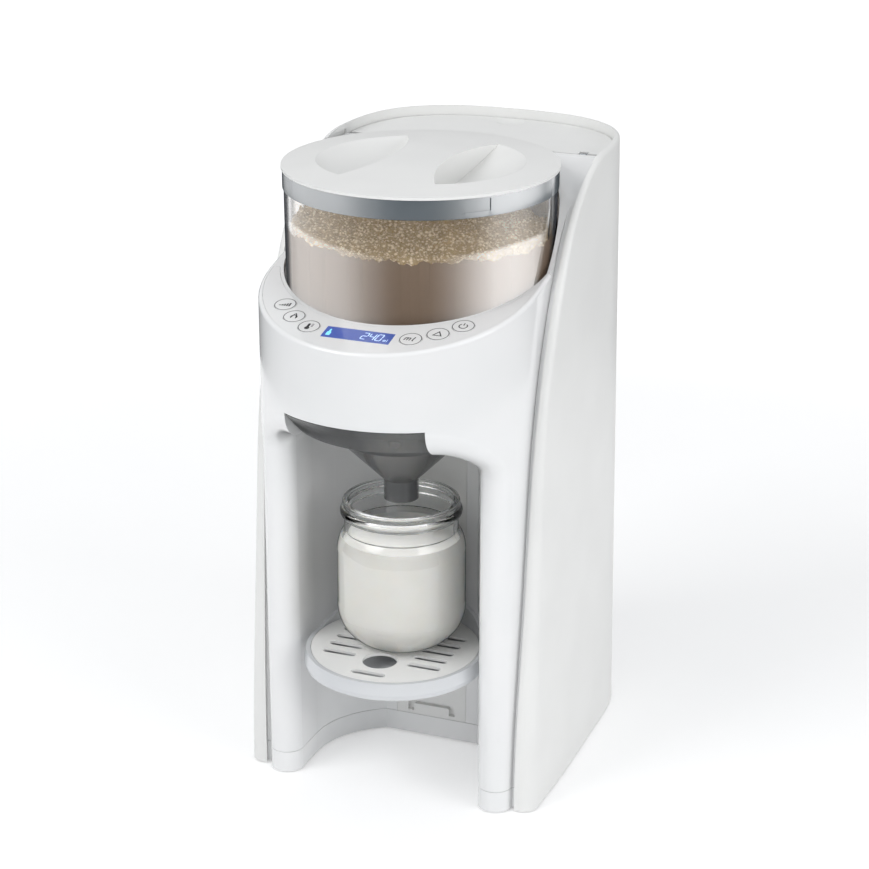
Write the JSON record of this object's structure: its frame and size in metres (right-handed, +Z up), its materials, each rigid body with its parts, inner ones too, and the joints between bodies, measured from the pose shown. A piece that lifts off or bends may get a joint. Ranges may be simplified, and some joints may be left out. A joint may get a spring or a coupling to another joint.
{
  "type": "baby formula maker",
  "caption": "White countertop baby formula maker with a clear powder hopper, slide-out mixing funnel, lift-out water tank and a glass bottle on a drip stand.",
  "frame": {"origin": "on the counter, under the middle of the bounding box", "axes": "+Z up, -Y towards the user, +X to the machine's left-hand side as it faces out, the viewer's right"},
  "size_m": [0.176, 0.258, 0.3566],
  "materials": {
    "cover_white": "satin white ABS",
    "housing_white": "glossy white ABS",
    "inner_white": "matt white ABS",
    "hopper_clear": "clear moulded plastic",
    "smoke_clear": "smoke grey translucent plastic",
    "band_blue": "blue-grey translucent plastic",
    "bottle_glass": "clear glass",
    "tank_clear": "clear moulded plastic",
    "display_glass": "backlit blue window",
    "board_green": "solder mask",
    "dark_plastic": "black nylon",
    "gear_acetal": "natural acetal",
    "bronze": "sintered bronze",
    "steel": "zinc plated steel",
    "heater_alloy": "die cast",
    "seal_rubber": "food grade silicone",
    "foot_rubber": "soft rubber"
  },
  "bodies": {
    "frame": {"alcove_liner": "housing_white", "base_screws": "steel", "base_tray": "housing_white", "control_board": "board_green", "control_panel": "housing_white", "display_module": "dark_plastic", "display_window": "display_glass", "drive_bush": "bronze", "front_housing": "housing_white", "funnel_rail_left": "inner_white", "funnel_rail_right": "inner_white", "gear_motor": "steel", "heater": "heater_alloy", "height_rail": "inner_white", "hopper_seat": "inner_white", "hot_water_hose": "seal_rubber", "motor_bracket": "steel", "powder_chute": "inner_white", "power_board": "board_green", "power_inlet": "dark_plastic", "pressure_hose": "seal_rubber", "rear_cover": "cover_white", "rubber_feet": "foot_rubber", "suction_hose": "seal_rubber", "tank_shelf": "inner_white", "valve_seal": "seal_rubber", "valve_seat": "inner_white", "water_nozzle": "inner_white", "water_pump": "dark_plastic"},
    "tank": {"water_tank": "tank_clear", "lid_hinge_pins": "steel"},
    "tank_cap": {"tank_lid": "cover_white"},
    "valve": {"tank_valve": "gear_acetal"},
    "hopper": {"powder_hopper": "hopper_clear", "wheel_cover": "inner_white"},
    "seal": {"lid_seal": "seal_rubber"},
    "lid": {"powder_lid": "housing_white", "lid_band": "band_blue"},
    "wheel": {"metering_wheel": "gear_acetal", "stirrer": "inner_white"},
    "gear": {"drive_gear": "gear_acetal"},
    "pinion": {"motor_pinion": "bronze"},
    "funnel": {"mixing_funnel": "smoke_clear"},
    "stand": {"bottle_stand": "housing_white"},
    "plate": {"drip_plate": "housing_white"},
    "bottle": {"bottle": "bottle_glass"},
    "level_button": {"level_button": "housing_white"},
    "water_button": {"water_button": "housing_white"},
    "heat_button": {"heat_button": "housing_white"},
    "unit_button": {"unit_button": "housing_white"},
    "start_button": {"start_button": "housing_white"},
    "power_button": {"power_button": "housing_white"}
  },
  "joints": [
    {"name": "tank_lift", "type": "slide", "parent": "frame", "child": "tank", "axis": [0, 0, 1], "range_m": [0, 0.12]},
    {"name": "tank_lid_hinge", "type": "hinge", "parent": "tank", "child": "tank_cap", "pos_m": [0, 0.0585, 0.3426], "axis": [1, 0, 0], "range_deg": [0, 85]},
    {"name": "valve_lift", "type": "slide", "parent": "tank", "child": "valve", "axis": [0, 0, 1], "range_m": [0, 0.002], "stiffness_N_per_m": 150, "springref_m": -0.003},
    {"name": "hopper_lift", "type": "slide", "parent": "frame", "child": "hopper", "axis": [0, 0, 1], "range_m": [0, 0.08]},
    {"name": "lid_lift", "type": "slide", "parent": "hopper", "child": "seal", "axis": [0, 0, 1], "range_m": [0, 0.05]},
    {"name": "lid_turn", "type": "hinge", "parent": "seal", "child": "lid", "pos_m": [0, -0.0246, 0.35], "axis": [0, 0, 1], "range_deg": [0, 20]},
    {"name": "wheel_spin", "type": "hinge", "parent": "hopper", "child": "wheel", "pos_m": [0, -0.0246, 0.26], "axis": [0, 0, 1], "continuous": true},
    {"name": "gear_spin", "type": "hinge", "parent": "frame", "child": "gear", "pos_m": [0, -0.0246, 0.243], "axis": [0, 0, 1], "continuous": true},
    {"name": "pinion_spin", "type": "hinge", "parent": "frame", "child": "pinion", "pos_m": [0, 0.0114, 0.243], "axis": [0, 0, 1], "continuous": true},
    {"name": "funnel_slide", "type": "slide", "parent": "frame", "child": "funnel", "axis": [0, -1, 0], "range_m": [0, 0.105]},
    {"name": "stand_slide", "type": "slide", "parent": "frame", "child": "stand", "axis": [0, -1, 0], "range_m": [0, 0.1]},
    {"name": "plate_lift", "type": "slide", "parent": "stand", "child": "plate", "axis": [0, 0, 1], "range_m": [0, 0.015]},
    {"name": "bottle_slide", "type": "slide", "parent": "plate", "child": "bottle", "axis": [0, -1, 0], "range_m": [0, 0.12]},
    {"name": "level_press", "type": "slide", "parent": "frame", "child": "level_button", "axis": [0, 0.2288, -0.9735], "range_m": [0, 0.0007], "stiffness_N_per_m": 800},
    {"name": "water_press", "type": "slide", "parent": "frame", "child": "water_button", "axis": [0, 0.2288, -0.9735], "range_m": [0, 0.0007], "stiffness_N_per_m": 800},
    {"name": "heat_press", "type": "slide", "parent": "frame", "child": "heat_button", "axis": [0, 0.2288, -0.9735], "range_m": [0, 0.0007], "stiffness_N_per_m": 800},
    {"name": "unit_press", "type": "slide", "parent": "frame", "child": "unit_button", "axis": [0, 0.2288, -0.9735], "range_m": [0, 0.0007], "stiffness_N_per_m": 800},
    {"name": "start_press", "type": "slide", "parent": "frame", "child": "start_button", "axis": [0, 0.2288, -0.9735], "range_m": [0, 0.0007], "stiffness_N_per_m": 800},
    {"name": "power_press", "type": "slide", "parent": "frame", "child": "power_button", "axis": [0, 0.2288, -0.9735], "range_m": [0, 0.0007], "stiffness_N_per_m": 800}
  ],
  "couplings": [
    {"joint": "wheel_spin", "follows": "gear_spin", "ratio": 1},
    {"joint": "pinion_spin", "follows": "gear_spin", "ratio": -3}
  ]
}
